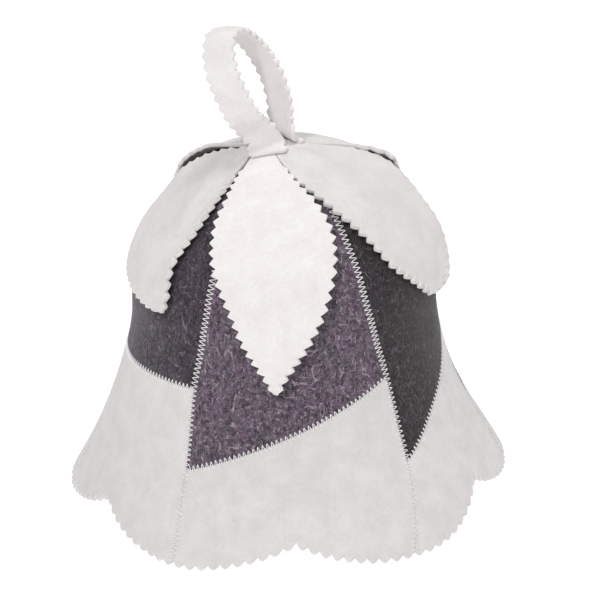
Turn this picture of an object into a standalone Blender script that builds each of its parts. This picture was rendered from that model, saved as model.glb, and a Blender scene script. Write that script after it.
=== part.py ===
"""Bell-shaped sauna hat sewn from pressed wool felt.

Six gores run from a scalloped, pinked hem to the top. Each gore is a dark crown piece
butted to a white skirt piece. Six white petals hang from the top over the crown, and a
pinked felt strap makes the hanging loop.

Axes: +Z up, the front of the hat looks along -Y, +X is its right side in that view.
The origin is on the surface that the hem rests on, under the middle of the hem.
"""

import math

import bmesh
import bpy
import numpy as np
from mathutils import Quaternion, Vector

MM = 0.001

# Felt and the pinking shears
FELT = 3.0 * MM
GAP = 0.4 * MM
TOOTH_DEPTH = 3.3 * MM
TOOTH_FLAT = 0.22
PINK_PITCH = 6.8 * MM

# Side view of the body, from hem to top: height above the surface, outer radius, and how
# far the middle of the hat is pulled to its right there
BODY_ROWS = (
    {"height": 0.0, "radius": 146.0, "shift": 0.0},
    {"height": 20.0, "radius": 134.5, "shift": 1.0},
    {"height": 45.0, "radius": 121.5, "shift": 1.5},
    {"height": 70.0, "radius": 110.9, "shift": 2.0},
    {"height": 95.0, "radius": 103.4, "shift": 2.5},
    {"height": 120.0, "radius": 98.8, "shift": 4.0},
    {"height": 140.0, "radius": 98.5, "shift": 5.5},
    {"height": 156.0, "radius": 96.0, "shift": 6.5},
    {"height": 171.0, "radius": 91.0, "shift": 7.5},
    {"height": 186.0, "radius": 80.7, "shift": 8.0},
    {"height": 199.0, "radius": 70.3, "shift": 8.0},
    {"height": 209.5, "radius": 59.5, "shift": 6.5},
    {"height": 217.0, "radius": 45.0, "shift": 3.0},
    {"height": 222.5, "radius": 28.0, "shift": 0.0},
    {"height": 226.5, "radius": 13.0, "shift": -1.5},
    {"height": 229.5, "radius": 6.0, "shift": -1.5},
    {"height": 230.5, "radius": 1.5, "shift": -1.5},
)

# The wall is cut level at the hem and square to the cloth above
LEVEL_CUT_LENGTH = 25.0 * MM
SQUARE_CUT_LENGTH = 65.0 * MM

# Gores: the two front seams wander, the four others are straight (degrees from the front)
FRONT_SEAM_ROWS = (
    {"height": 0.0, "left": -29.0, "right": 30.0},
    {"height": 50.0, "left": -32.0, "right": 38.0},
    {"height": 100.0, "left": -34.0, "right": 38.0},
    {"height": 150.0, "left": -31.0, "right": 30.0},
    {"height": 230.0, "left": -30.0, "right": 24.0},
)
STRAIGHT_SEAMS_DEG = (90.0, 150.0, 210.0, 270.0)

# Where the dark felt meets the white felt, at the left and right seam of each gore
GORES = (
    {"name": "front", "left_height": 51.0, "right_height": 99.0},
    {"name": "right", "left_height": 47.0, "right_height": 103.0},
    {"name": "back_right", "left_height": 47.0, "right_height": 98.0},
    {"name": "back", "left_height": 47.0, "right_height": 98.0},
    {"name": "back_left", "left_height": 47.0, "right_height": 98.0},
    {"name": "left", "left_height": 98.0, "right_height": 99.0},
)

# Scalloped hem: lobes under the seams, a notch in the middle of each gore
NOTCH_HEIGHT = 17.0 * MM
LOBE_REST_SHARE = 0.9
HEM_FLUTE = 1.5 * MM
HEM_TEETH = 20

# Petals: the angle from the front and the length up the body of both edges, from tip to top
FRONT_PETAL_ROWS = (
    {"left_deg": -5.3, "left_length": 111.0, "right_deg": -2.2, "right_length": 111.0},
    {"left_deg": -6.2, "left_length": 118.0, "right_deg": -1.5, "right_length": 118.0},
    {"left_deg": -10.3, "left_length": 130.0, "right_deg": 1.8, "right_length": 130.0},
    {"left_deg": -14.5, "left_length": 143.0, "right_deg": 5.4, "right_length": 143.0},
    {"left_deg": -19.3, "left_length": 160.0, "right_deg": 10.2, "right_length": 159.0},
    {"left_deg": -25.3, "left_length": 177.0, "right_deg": 14.0, "right_length": 176.0},
    {"left_deg": -31.0, "left_length": 193.0, "right_deg": 17.2, "right_length": 194.0},
    {"left_deg": -33.4, "left_length": 205.0, "right_deg": 18.0, "right_length": 206.0},
    {"left_deg": -34.7, "left_length": 214.0, "right_deg": 17.2, "right_length": 217.0},
    {"left_deg": -33.5, "left_length": 227.0, "right_deg": 15.6, "right_length": 228.0},
    {"left_deg": -32.2, "left_length": 238.0, "right_deg": 13.8, "right_length": 238.0},
    {"left_deg": -31.6, "left_length": 250.0, "right_deg": 12.5, "right_length": 250.0},
    {"left_deg": -31.0, "left_length": 264.0, "right_deg": 11.0, "right_length": 264.0},
    {"left_deg": -31.0, "left_length": 292.5, "right_deg": 10.0, "right_length": 292.5},
)
RIGHT_PETAL_ROWS = (
    {"left_deg": 61.5, "left_length": 150.5, "right_deg": 64.5, "right_length": 150.5},
    {"left_deg": 55.0, "left_length": 160.0, "right_deg": 76.0, "right_length": 153.0},
    {"left_deg": 48.0, "left_length": 171.0, "right_deg": 86.0, "right_length": 158.0},
    {"left_deg": 42.0, "left_length": 181.0, "right_deg": 93.0, "right_length": 167.0},
    {"left_deg": 39.0, "left_length": 190.0, "right_deg": 98.0, "right_length": 179.0},
    {"left_deg": 36.0, "left_length": 200.5, "right_deg": 103.0, "right_length": 192.0},
    {"left_deg": 31.6, "left_length": 211.0, "right_deg": 105.0, "right_length": 206.0},
    {"left_deg": 26.4, "left_length": 222.0, "right_deg": 104.0, "right_length": 218.0},
    {"left_deg": 21.5, "left_length": 234.0, "right_deg": 98.5, "right_length": 228.0},
    {"left_deg": 18.3, "left_length": 246.0, "right_deg": 95.0, "right_length": 238.0},
    {"left_deg": 15.5, "left_length": 262.0, "right_deg": 97.5, "right_length": 250.0},
    {"left_deg": 13.5, "left_length": 292.5, "right_deg": 97.8, "right_length": 292.5},
)
LEFT_PETAL_ROWS = (
    {"left_deg": -53.5, "left_length": 154.0, "right_deg": -50.5, "right_length": 154.0},
    {"left_deg": -66.0, "left_length": 156.5, "right_deg": -50.0, "right_length": 164.0},
    {"left_deg": -78.0, "left_length": 159.5, "right_deg": -50.0, "right_length": 174.0},
    {"left_deg": -89.0, "left_length": 164.0, "right_deg": -49.5, "right_length": 184.0},
    {"left_deg": -96.0, "left_length": 173.0, "right_deg": -48.0, "right_length": 193.0},
    {"left_deg": -100.0, "left_length": 185.0, "right_deg": -46.3, "right_length": 202.0},
    {"left_deg": -100.5, "left_length": 198.0, "right_deg": -44.8, "right_length": 213.0},
    {"left_deg": -98.0, "left_length": 210.0, "right_deg": -42.5, "right_length": 225.0},
    {"left_deg": -93.0, "left_length": 222.0, "right_deg": -40.0, "right_length": 237.0},
    {"left_deg": -88.5, "left_length": 233.0, "right_deg": -36.8, "right_length": 249.0},
    {"left_deg": -86.0, "left_length": 244.0, "right_deg": -34.3, "right_length": 262.0},
    {"left_deg": -82.0, "left_length": 257.0, "right_deg": -33.5, "right_length": 270.0},
    {"left_deg": -76.0, "left_length": 270.0, "right_deg": -33.5, "right_length": 276.0},
    {"left_deg": -72.0, "left_length": 292.5, "right_deg": -33.5, "right_length": 292.5},
)
# The petals at the back are alike but for their edges near the top; their angles are from
# the petal's own middle
BACK_PETAL_ROWS = (
    {"left_deg": -1.5, "left_length": 151.0, "right_deg": 1.5, "right_length": 151.0},
    {"left_deg": -8.0, "left_length": 161.0, "right_deg": 8.0, "right_length": 161.0},
    {"left_deg": -14.5, "left_length": 173.0, "right_deg": 14.5, "right_length": 173.0},
    {"left_deg": -19.0, "left_length": 186.0, "right_deg": 19.0, "right_length": 186.0},
    {"left_deg": -21.5, "left_length": 200.0, "right_deg": 21.5, "right_length": 200.0},
    {"left_deg": -23.2, "left_length": 215.0, "right_deg": 23.2, "right_length": 215.0},
    {"left_deg": -24.4, "left_length": 230.0, "right_deg": 24.4, "right_length": 230.0},
    {"left_deg": -24.6, "left_length": 262.0, "right_deg": 24.6, "right_length": 262.0},
    {"left_deg": -24.6, "left_length": 292.5, "right_deg": 24.6, "right_length": 292.5},
)
BACK_RIGHT_PETAL_ROWS = (
    {"left_deg": -1.5, "left_length": 151.0, "right_deg": 1.5, "right_length": 151.0},
    {"left_deg": -8.0, "left_length": 161.0, "right_deg": 8.0, "right_length": 161.0},
    {"left_deg": -14.5, "left_length": 173.0, "right_deg": 14.5, "right_length": 173.0},
    {"left_deg": -19.0, "left_length": 186.0, "right_deg": 19.0, "right_length": 186.0},
    {"left_deg": -21.5, "left_length": 200.0, "right_deg": 21.5, "right_length": 200.0},
    {"left_deg": -22.5, "left_length": 215.0, "right_deg": 23.2, "right_length": 215.0},
    {"left_deg": -23.0, "left_length": 232.0, "right_deg": 24.4, "right_length": 232.0},
    {"left_deg": -27.0, "left_length": 243.0, "right_deg": 24.5, "right_length": 246.0},
    {"left_deg": -31.0, "left_length": 254.0, "right_deg": 24.6, "right_length": 262.0},
    {"left_deg": -32.6, "left_length": 292.5, "right_deg": 24.6, "right_length": 292.5},
)
BACK_LEFT_PETAL_ROWS = (
    {"left_deg": -1.5, "left_length": 151.0, "right_deg": 1.5, "right_length": 151.0},
    {"left_deg": -8.0, "left_length": 161.0, "right_deg": 8.0, "right_length": 161.0},
    {"left_deg": -14.5, "left_length": 173.0, "right_deg": 14.5, "right_length": 173.0},
    {"left_deg": -19.0, "left_length": 186.0, "right_deg": 19.0, "right_length": 186.0},
    {"left_deg": -21.5, "left_length": 200.0, "right_deg": 21.5, "right_length": 200.0},
    {"left_deg": -23.2, "left_length": 215.0, "right_deg": 20.5, "right_length": 215.0},
    {"left_deg": -24.4, "left_length": 230.0, "right_deg": 20.0, "right_length": 230.0},
    {"left_deg": -24.5, "left_length": 246.0, "right_deg": 22.0, "right_length": 246.0},
    {"left_deg": -24.6, "left_length": 262.0, "right_deg": 26.0, "right_length": 262.0},
    {"left_deg": -24.6, "left_length": 292.5, "right_deg": 50.0, "right_length": 292.5},
)
# Each petal: how far its rows are turned, the length up to which each edge is free and
# pinked, and how far its tip stands off the crown
PETALS = (
    {"name": "front", "rows": FRONT_PETAL_ROWS, "turn_deg": 0.0,
     "left_free_to": 212.0, "right_free_to": 205.0, "tip_lift": 2.4},
    {"name": "right", "rows": RIGHT_PETAL_ROWS, "turn_deg": 0.0,
     "left_free_to": 220.0, "right_free_to": 204.0, "tip_lift": 5.0},
    {"name": "back_right", "rows": BACK_RIGHT_PETAL_ROWS, "turn_deg": 132.4,
     "left_free_to": 198.0, "right_free_to": 196.0, "tip_lift": 5.0},
    {"name": "back", "rows": BACK_PETAL_ROWS, "turn_deg": 182.3,
     "left_free_to": 196.0, "right_free_to": 196.0, "tip_lift": 5.0},
    {"name": "back_left", "rows": BACK_LEFT_PETAL_ROWS, "turn_deg": 232.2,
     "left_free_to": 196.0, "right_free_to": 200.0, "tip_lift": 5.0},
    {"name": "left", "rows": LEFT_PETAL_ROWS, "turn_deg": 0.0,
     "left_free_to": 248.0, "right_free_to": 226.0, "tip_lift": 5.0},
)
PETAL_SEAT = 0.6 * MM
PETAL_EDGE_LIFT = 2.0 * MM
PETAL_LOOSE_SHARE = 0.3
PETAL_HELD_SHARE = 0.75

# Hanging loop: a strap that rises from the top and comes back beside its first end, in a
# plane turned from the front and leaning to the hat's left. Its rows go from the front
# foot over the top to the back foot; the twist turns the strap's face about its length.
STRAP_WIDTH = 20.0 * MM
LOOP_TURN_DEG = 50.0
LOOP_LEAN_DEG = 18.0
LOOP_FOOT_X = 2.0 * MM
LOOP_FOOT_Y = -2.0 * MM
LOOP_ROWS = (
    {"across": -9.0, "up": 0.0, "twist": 14.0},
    {"across": -10.5, "up": 7.0, "twist": 14.0},
    {"across": -15.0, "up": 19.0, "twist": 12.0},
    {"across": -19.5, "up": 36.0, "twist": 10.0},
    {"across": -21.0, "up": 51.0, "twist": 8.0},
    {"across": -18.0, "up": 64.0, "twist": 6.0},
    {"across": -10.0, "up": 74.0, "twist": 4.0},
    {"across": -1.0, "up": 76.0, "twist": 4.0},
    {"across": 7.5, "up": 70.5, "twist": 5.0},
    {"across": 14.5, "up": 61.0, "twist": 7.0},
    {"across": 19.5, "up": 47.0, "twist": 9.0},
    {"across": 20.5, "up": 32.0, "twist": 11.0},
    {"across": 17.0, "up": 16.0, "twist": 10.0},
    {"across": 11.5, "up": 6.0, "twist": 6.0},
    {"across": 6.5, "up": 0.0, "twist": 4.0},
)

# Facets
CROWN_COLUMNS = 7
CROWN_LOWER_STEP = 16.0 * MM
CROWN_SHARED_HEIGHT = 106.0 * MM
CROWN_SHARED_ROWS = 11
SKIRT_COLUMNS = 10
SKIRT_ROWS = 6
PETAL_COLUMNS = 6
PETAL_ROWS = 20
STRAP_COLUMNS = 2
STRAP_ROWS = 30


# Smaller figures: where the hem's flutes end, limits near the level top of the body, the
# reach over which a curve's direction is taken, and how near a corner is to a side
FLUTE_HEIGHT = 100.0 * MM
LEAST_RISE = 0.3
LEAST_RADIUS = 5.0 * MM
DIRECTION_REACH = 0.002
ON_SIDE = 1e-5
SHARP_DEG = 40.0


def smoothstep(low, high, value):
    """Rise from 0 at low to 1 at high, level at both ends."""
    share = min(max((value - low) / (high - low), 0.0), 1.0)
    return share * share * (3.0 - 2.0 * share)


def mix(first, second, share):
    return first + (second - first) * share


class SmoothCurve:
    """A smooth curve through table rows, measured by its length from the first row."""

    def __init__(self, points, samples_per_span=40):
        points = np.array(points, dtype=float)
        spans = np.linalg.norm(np.diff(points, axis=0), axis=1)
        slopes = np.diff(points, axis=0) / spans[:, None]
        tangents = np.vstack([slopes[:1], slopes[1:], slopes[-1:]])
        for i in range(1, len(points) - 1):
            weight = spans[i] / (spans[i - 1] + spans[i])
            tangents[i] = slopes[i - 1] * weight + slopes[i] * (1.0 - weight)
        dense = []
        for i, span in enumerate(spans):
            for share in np.arange(samples_per_span) / samples_per_span:
                square, cube = share ** 2, share ** 3
                start = (2 * cube - 3 * square + 1) * points[i]
                end = (3 * square - 2 * cube) * points[i + 1]
                leave = (cube - 2 * square + share) * span * tangents[i]
                arrive = (cube - square) * span * tangents[i + 1]
                dense.append(start + end + leave + arrive)
        dense.append(points[-1])
        self.points = np.array(dense)
        steps = np.linalg.norm(np.diff(self.points, axis=0), axis=1)
        self.lengths = np.concatenate([[0.0], np.cumsum(steps)])
        self.length = self.lengths[-1]

    def at(self, length):
        """Point at a length along the curve; it runs on straight past the ends."""
        inside = min(max(length, 0.0), self.length)
        return self.between(inside) + self.direction(inside) * (length - inside)

    def direction(self, length):
        """Unit vector along the curve at a length."""
        reach = DIRECTION_REACH * self.length
        low = max(length - reach, 0.0)
        high = min(length + reach, self.length)
        step = self.between(high) - self.between(low)
        return step / np.linalg.norm(step)

    def between(self, length):
        """Point at a length that lies between the ends."""
        return np.array([np.interp(length, self.lengths, axis) for axis in self.points.T])


PROFILE = SmoothCurve([(row["radius"] * MM, row["height"] * MM) for row in BODY_ROWS])
LOOP_PATH = SmoothCurve([(row["across"] * MM, row["up"] * MM) for row in LOOP_ROWS])
LOOP_TWISTS = [row["twist"] for row in LOOP_ROWS]
SHIFT = SmoothCurve([(row["height"] * MM, row["shift"] * MM) for row in BODY_ROWS])
FRONT_SEAMS = [
    SmoothCurve([(row["height"], row[side]) for row in FRONT_SEAM_ROWS])
    for side in ("left", "right")
]


def length_at_height(height):
    """Length up the body's outside, from the hem line, at a height."""
    return float(np.interp(height, PROFILE.points[:, 1], PROFILE.lengths))


def on_body(angle_deg, length, off):
    """Point at an angle and a length up the body, off the outer face (minus is inside)."""
    radius, height = PROFILE.at(length)
    run, rise = PROFILE.direction(length)
    normal = np.array([rise, -run])
    level = np.array([1.0 / max(rise, LEAST_RISE), 0.0])
    squareness = smoothstep(LEVEL_CUT_LENGTH, SQUARE_CUT_LENGTH, length)
    radius_off, height_off = mix(level, normal, squareness) * off
    flute = HEM_FLUTE * math.cos(math.radians(len(GORES) * (angle_deg - STRAIGHT_SEAMS_DEG[0])))
    radius += flute * (1.0 - smoothstep(0.0, FLUTE_HEIGHT, height)) + radius_off
    shift = float(np.interp(height, *SHIFT.points.T))
    angle = math.radians(angle_deg)
    return Vector((shift + radius * math.sin(angle), -radius * math.cos(angle), height + height_off))


def seam_angle(number, length):
    """Angle of a seam; number 0 is left of the front gore, and they count to the right."""
    if number % 6 > 1:
        return STRAIGHT_SEAMS_DEG[number - 2]
    heights, angles = FRONT_SEAMS[number % 6].points.T
    height = PROFILE.at(length)[1] / MM
    return float(np.interp(height, heights, angles)) + (360.0 if number == 6 else 0.0)


def gore_angle(number, across, length):
    """Angle inside gore 0 to 5 at a share of its width, with half a gap at each seam."""
    left = seam_angle(number, length)
    right = seam_angle(number + 1, length)
    half_gap = math.degrees(0.5 * GAP / max(PROFILE.at(length)[0], LEAST_RADIUS))
    return mix(left + half_gap, right - half_gap, across)


def colour_line(gore, across):
    """Length up the body where a gore's dark felt meets its white felt."""
    return length_at_height(mix(gore["left_height"], gore["right_height"], across) * MM)


def hem_line(across):
    """Length up the body of the hem's tooth tips at a share of a gore's width."""
    from_seam = 1.0 - abs(2.0 * across - 1.0)
    rise = max(from_seam - (1.0 - LOBE_REST_SHARE), 0.0) / LOBE_REST_SHARE
    return length_at_height(NOTCH_HEIGHT * rise ** 2)


def felt_material(name, colour, roughness):
    """Principled material for one kind of felt."""
    material = bpy.data.materials.new(name)
    material.use_nodes = True
    shader = material.node_tree.nodes["Principled BSDF"]
    shader.inputs["Base Color"].default_value = (*colour, 1.0)
    shader.inputs["Roughness"].default_value = roughness
    shader.inputs["Metallic"].default_value = 0.0
    return material


def flat_blank(columns, rows):
    """Flat rectangular blank from (0, 0) to (1, 1), in columns and rows."""
    bm = bmesh.new()
    bmesh.ops.create_grid(bm, x_segments=columns, y_segments=rows, size=0.5)
    bmesh.ops.translate(bm, verts=bm.verts, vec=(0.5, 0.5, 0.0))
    return bm


def edges_on(bm, axis, value, low, high):
    """Edges along one side of a blank, between two places on it, in order."""
    other = 1 - axis
    found = {}
    for edge in bm.edges:
        middle = (edge.verts[0].co[other] + edge.verts[1].co[other]) * 0.5
        on_side = all(abs(vert.co[axis] - value) < ON_SIDE for vert in edge.verts)
        if on_side and low < middle < high:
            found[middle] = edge
    return [found[middle] for middle in sorted(found)]


def pink(bm, axis, value, outward, teeth, low=0.0, high=1.0, flat=0.0):
    """Cut one side of a blank into equal teeth; flat is the level share of a tooth's tip."""
    other = 1 - axis
    edges = edges_on(bm, axis, value, low, high)
    shares = [0.0, 0.5 - 0.5 * flat, 0.5 + 0.5 * flat] if flat > 0.0 else [0.0, 0.5]
    wanted = teeth * len(shares)
    for i, edge in enumerate(edges):
        pieces = round((i + 1) * wanted / len(edges)) - round(i * wanted / len(edges))
        if pieces > 1:
            bmesh.ops.subdivide_edges(bm, edges=[edge], cuts=pieces - 1)
    corners = {vert for edge in edges_on(bm, axis, value, low, high) for vert in edge.verts}
    for i, vert in enumerate(sorted(corners, key=lambda vert: vert.co[other])):
        tooth, place = divmod(i, len(shares))
        vert.co[other] = mix(low, high, (tooth + shares[place]) / teeth)
        if place > 0:
            vert.co[axis] += outward


def thicken(bm):
    """Give a flat blank a second face at z = -1, joined to the first round its outline."""
    made = bmesh.ops.extrude_face_region(bm, geom=list(bm.faces), use_keep_orig=True)
    lower = [item for item in made["geom"] if isinstance(item, bmesh.types.BMVert)]
    bmesh.ops.translate(bm, verts=lower, vec=(0.0, 0.0, -1.0))


def finish_piece(name, bm, place, material):
    """Bend a blank to its place on the hat and make it an object."""
    for vert in bm.verts:
        vert.co = place(vert.co.x, vert.co.y, vert.co.z)
    bmesh.ops.triangulate(bm, faces=list(bm.faces))
    bmesh.ops.recalc_face_normals(bm, faces=list(bm.faces))
    if bm.calc_volume(signed=True) < 0.0:
        bmesh.ops.reverse_faces(bm, faces=list(bm.faces))
    mesh = bpy.data.meshes.new(name)
    bm.to_mesh(mesh)
    bm.free()
    mesh.shade_smooth()
    mesh.set_sharp_from_angle(angle=math.radians(SHARP_DEG))
    mesh.materials.append(material)
    piece = bpy.data.objects.new(name, mesh)
    bpy.context.scene.collection.objects.link(piece)
    return piece


def crown_gore(number, gore, material):
    """Dark upper part of a gore, from the colour line to the top."""
    shared = np.linspace(length_at_height(CROWN_SHARED_HEIGHT), PROFILE.length, CROWN_SHARED_ROWS + 1)
    lowest = min(colour_line(gore, across) for across in (0.0, 1.0))
    lower_rows = math.ceil((shared[0] - lowest) / CROWN_LOWER_STEP)
    count = lower_rows + CROWN_SHARED_ROWS
    bm = flat_blank(CROWN_COLUMNS, count)
    thicken(bm)

    def place(across, up, depth):
        start = colour_line(gore, across) + 0.5 * GAP
        rows = [mix(start, shared[0], i / lower_rows) for i in range(lower_rows)] + list(shared)
        length = float(np.interp(up * count, range(count + 1), rows))
        return on_body(gore_angle(number, across, length), length, depth * FELT)

    return finish_piece("crown_gore_" + gore["name"], bm, place, material)


def skirt_gore(number, gore, material):
    """White lower part of a gore, from the pinked hem to the colour line."""
    bm = flat_blank(SKIRT_COLUMNS, SKIRT_ROWS)
    pink(bm, 1, 0.0, -1.0, HEM_TEETH, flat=TOOTH_FLAT)
    thicken(bm)

    def place(across, up, depth):
        tip = hem_line(across)
        root = tip + TOOTH_DEPTH
        end = colour_line(gore, across) - 0.5 * GAP
        length = mix(root, end, up) if up >= 0.0 else mix(root, tip, -up)
        return on_body(gore_angle(number, across, length), length, depth * FELT)

    return finish_piece("skirt_gore_" + gore["name"], bm, place, material)


def petal_edge(petal, side):
    """Points along one edge of a petal: length along it, angle and length up the body."""
    rows = [(row[side + "_deg"], row[side + "_length"]) for row in petal["rows"]]
    angles, ups = SmoothCurve(rows).points.T
    radii = np.array([PROFILE.at(up * MM)[0] for up in ups])
    arcs = np.radians(np.diff(angles)) * 0.5 * (radii[1:] + radii[:-1])
    steps = np.hypot(arcs, np.diff(ups) * MM)
    lengths = np.concatenate([[0.0], np.cumsum(steps)])
    return lengths, angles + petal["turn_deg"], ups * MM


def white_petal(petal, material):
    """Leaf-shaped petal that hangs from the top and stands a little off the crown."""
    bm = flat_blank(PETAL_COLUMNS, PETAL_ROWS)
    edges = {}
    for side, value, outward in (("left", 0.0, -1.0), ("right", 1.0, 1.0)):
        lengths, angles, ups = petal_edge(petal, side)
        edges[side] = (lengths / lengths[-1], angles, ups)
        free = float(np.interp(petal[side + "_free_to"] * MM, ups, edges[side][0]))
        free = round(free * PETAL_ROWS) / PETAL_ROWS
        pink(bm, 0, value, outward, round(free * lengths[-1] / PINK_PITCH), high=free)
    pink(bm, 1, 0.0, -1.0, 1, 1.0 / 3.0, 2.0 / 3.0)
    thicken(bm)

    def place(across, up, depth):
        inside = min(max(across, 0.0), 1.0)
        share = max(up, 0.0)
        left, right = (
            np.array([np.interp(share, edges[side][0], column) for column in edges[side][1:]])
            for side in ("left", "right")
        )
        angle, length = mix(left, right, inside)
        reach = PROFILE.at(length)[0] + FELT
        angle += math.degrees((across - inside) * TOOTH_DEPTH / reach)
        length += min(up, 0.0) * TOOTH_DEPTH
        edge_share = abs(2.0 * inside - 1.0) ** 2
        free_share = 1.0 - smoothstep(PETAL_LOOSE_SHARE, PETAL_HELD_SHARE, share)
        tip_share = max(1.0 - 2.0 * share, 0.0) ** 2
        lift = PETAL_SEAT + PETAL_EDGE_LIFT * edge_share * free_share + petal["tip_lift"] * MM * tip_share
        return on_body(angle, length, lift + (1.0 + depth) * FELT)

    return finish_piece("petal_" + petal["name"], bm, place, material)


def top_height(x, y):
    """Height of the petals' upper face near the top of the hat."""
    reach = max(math.hypot(x - SHIFT.points[-1, 1], y), PROFILE.points[-1, 0])
    radii = PROFILE.points[::-1, 0]
    heights = PROFILE.points[::-1, 1]
    length = float(np.interp(reach, radii, PROFILE.lengths[::-1]))
    rise = PROFILE.direction(length)[0]
    return float(np.interp(reach, radii, heights)) + (PETAL_SEAT + FELT) / max(-rise, LEAST_RISE)


def hanging_loop(material):
    """Pinked felt strap: both ends meet on the top, and it leans to the hat's left."""
    bm = flat_blank(STRAP_COLUMNS, STRAP_ROWS)
    for value, outward in ((0.0, -1.0), (1.0, 1.0)):
        pink(bm, 0, value, outward * TOOTH_DEPTH / STRAP_WIDTH, round(LOOP_PATH.length / PINK_PITCH))
    thicken(bm)
    turn = math.radians(LOOP_TURN_DEG)
    lean = math.radians(LOOP_LEAN_DEG)
    across_axis = Vector((math.cos(turn), math.sin(turn), 0.0))
    up_axis = Vector((-math.sin(lean), 0.0, math.cos(lean)))
    width_axis = across_axis.cross(up_axis).normalized()
    foot = Vector((LOOP_FOOT_X, LOOP_FOOT_Y, top_height(LOOP_FOOT_X, LOOP_FOOT_Y) + GAP))

    def place(across, along, depth):
        length = along * LOOP_PATH.length
        path_across, path_up = LOOP_PATH.at(length)
        run, rise = LOOP_PATH.direction(length)
        forward = (across_axis * run + up_axis * rise).normalized()
        twist = float(np.interp(along * (len(LOOP_TWISTS) - 1), range(len(LOOP_TWISTS)), LOOP_TWISTS))
        side = Quaternion(forward, math.radians(twist)) @ width_axis
        outward = side.cross(forward).normalized()
        point = foot + across_axis * path_across + up_axis * path_up
        point += side * ((across - 0.5) * STRAP_WIDTH)
        point += outward * ((depth + 0.5) * FELT)
        seat = top_height(point.x, point.y) + GAP
        if along in (0.0, 1.0) or point.z < seat:
            point.z = seat
        return point

    return finish_piece("hanging_loop", bm, place, material)


def main():
    for thing in list(bpy.data.objects):
        bpy.data.objects.remove(thing, do_unlink=True)
    dark_felt = felt_material("dark_heather_felt", (0.105, 0.078, 0.105), 0.95)
    white_felt = felt_material("white_felt", (0.80, 0.77, 0.75), 0.92)
    for number, gore in enumerate(GORES):
        crown_gore(number, gore, dark_felt)
        skirt_gore(number, gore, white_felt)
    for petal in PETALS:
        white_petal(petal, white_felt)
    hanging_loop(white_felt)


main()
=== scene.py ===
# %% [markdown]
# # A felt sauna hat
# The hat is sewn from pressed wool felt: six dark gores at the top, six white ones with a
# pinked hem below, six white leaf petals and a felt hanging loop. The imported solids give
# every piece its place and size. They could be dressed with a finish alone, but felt shows
# its pinked edges, soft waves and stitches, so each piece is laid again as a cut sheet.

# %% Load the frame
import math

import bpy
import numpy as np
from mathutils import Matrix, Vector


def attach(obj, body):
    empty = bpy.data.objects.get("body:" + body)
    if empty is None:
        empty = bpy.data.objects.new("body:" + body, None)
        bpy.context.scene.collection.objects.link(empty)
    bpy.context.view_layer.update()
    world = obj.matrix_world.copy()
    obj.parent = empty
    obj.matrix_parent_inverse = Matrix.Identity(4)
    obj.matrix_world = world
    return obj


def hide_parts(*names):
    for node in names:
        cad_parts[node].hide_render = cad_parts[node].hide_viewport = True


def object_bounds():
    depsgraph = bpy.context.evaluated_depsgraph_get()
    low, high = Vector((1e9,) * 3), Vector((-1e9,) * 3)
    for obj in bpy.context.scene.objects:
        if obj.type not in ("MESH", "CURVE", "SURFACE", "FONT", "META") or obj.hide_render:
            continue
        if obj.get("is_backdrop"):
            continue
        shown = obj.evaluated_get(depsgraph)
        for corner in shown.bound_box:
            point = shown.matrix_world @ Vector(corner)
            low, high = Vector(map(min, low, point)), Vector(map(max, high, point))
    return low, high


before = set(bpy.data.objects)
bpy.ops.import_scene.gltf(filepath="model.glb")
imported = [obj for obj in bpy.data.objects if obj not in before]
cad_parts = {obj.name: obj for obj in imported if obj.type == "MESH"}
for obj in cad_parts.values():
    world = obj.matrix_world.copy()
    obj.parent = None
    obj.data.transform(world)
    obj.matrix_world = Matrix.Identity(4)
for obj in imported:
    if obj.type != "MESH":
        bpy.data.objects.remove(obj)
cad_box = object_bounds()
MM = 0.001
print("solids in the frame:", len(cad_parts))

# %% [markdown]
# ## The form of the hat
# Felt keeps the shape that it was blocked to, so the whole hat is one smooth form. It could
# be sculpted, or spun from one drawn outline. Here it is written as short tables, so that
# every gore, petal and stitch finds its place on the same form: how wide the hat is at each
# height, how far it leans to its right, where the front seams run, and how far the worn hem
# stands out at each angle. The tables are in millimetres and degrees.

# %% Felt, and tables with named columns
FELT = 3 * MM
TOOTH_DEPTH = 3.3 * MM
PINK_PITCH = 6.8 * MM


def table(columns, *rows):
    """Rows of values under named columns."""
    return [dict(zip(columns.split(), row, strict=True)) for row in rows]


print("felt, tooth depth and tooth pitch, mm:", FELT / MM, TOOTH_DEPTH / MM, PINK_PITCH / MM)

# %% Widths, and the lean to the right
BODY_ROWS = table(
    "height radius shift",
    (0, 146, 0),
    (20, 134.5, 1),
    (45, 121.5, 1.5),
    (70, 110.9, 2),
    (95, 103.4, 2.5),
    (120, 98.8, 4),
    (140, 98.5, 5.5),
    (156, 96, 6.5),
    (171, 91, 7.5),
    (186, 80.7, 8),
    (199, 70.3, 8),
    (209.5, 59.5, 6.5),
    (217, 45, 3),
    (222.5, 28, 0),
    (226.5, 13, -1.5),
    (229.5, 6, -1.5),
    (230.5, 1.5, -1.5),
)
print("widest and narrowest radius, mm:", BODY_ROWS[0]["radius"], BODY_ROWS[-1]["radius"])

# %% Seams
FRONT_SEAM_ROWS = table(
    "height left right",
    (0, -29, 30),
    (50, -32, 38),
    (100, -34, 38),
    (150, -31, 30),
    (230, -30, 24),
)
STRAIGHT_SEAMS_DEG = (90.0, 150.0, 210.0, 270.0)
print("front seams at the hem, degrees:", FRONT_SEAM_ROWS[0])

# %% Flare of the worn hem
HEM_FLARE_ROWS = table(
    "angle flare",
    (-180, 0),
    (-130, 0),
    (-100, -3.5),
    (-80, -3.5),
    (-55, -0.5),
    (-38, 0.5),
    (-28, 4.5),
    (-15, 4),
    (0, 6),
    (15, 5.5),
    (32, 8.5),
    (50, 6.5),
    (70, 1),
    (85, 0.5),
    (100, 1.5),
    (130, 0),
    (180, 0),
)
print("flare, mm at most:", max(row["flare"] for row in HEM_FLARE_ROWS))

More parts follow.
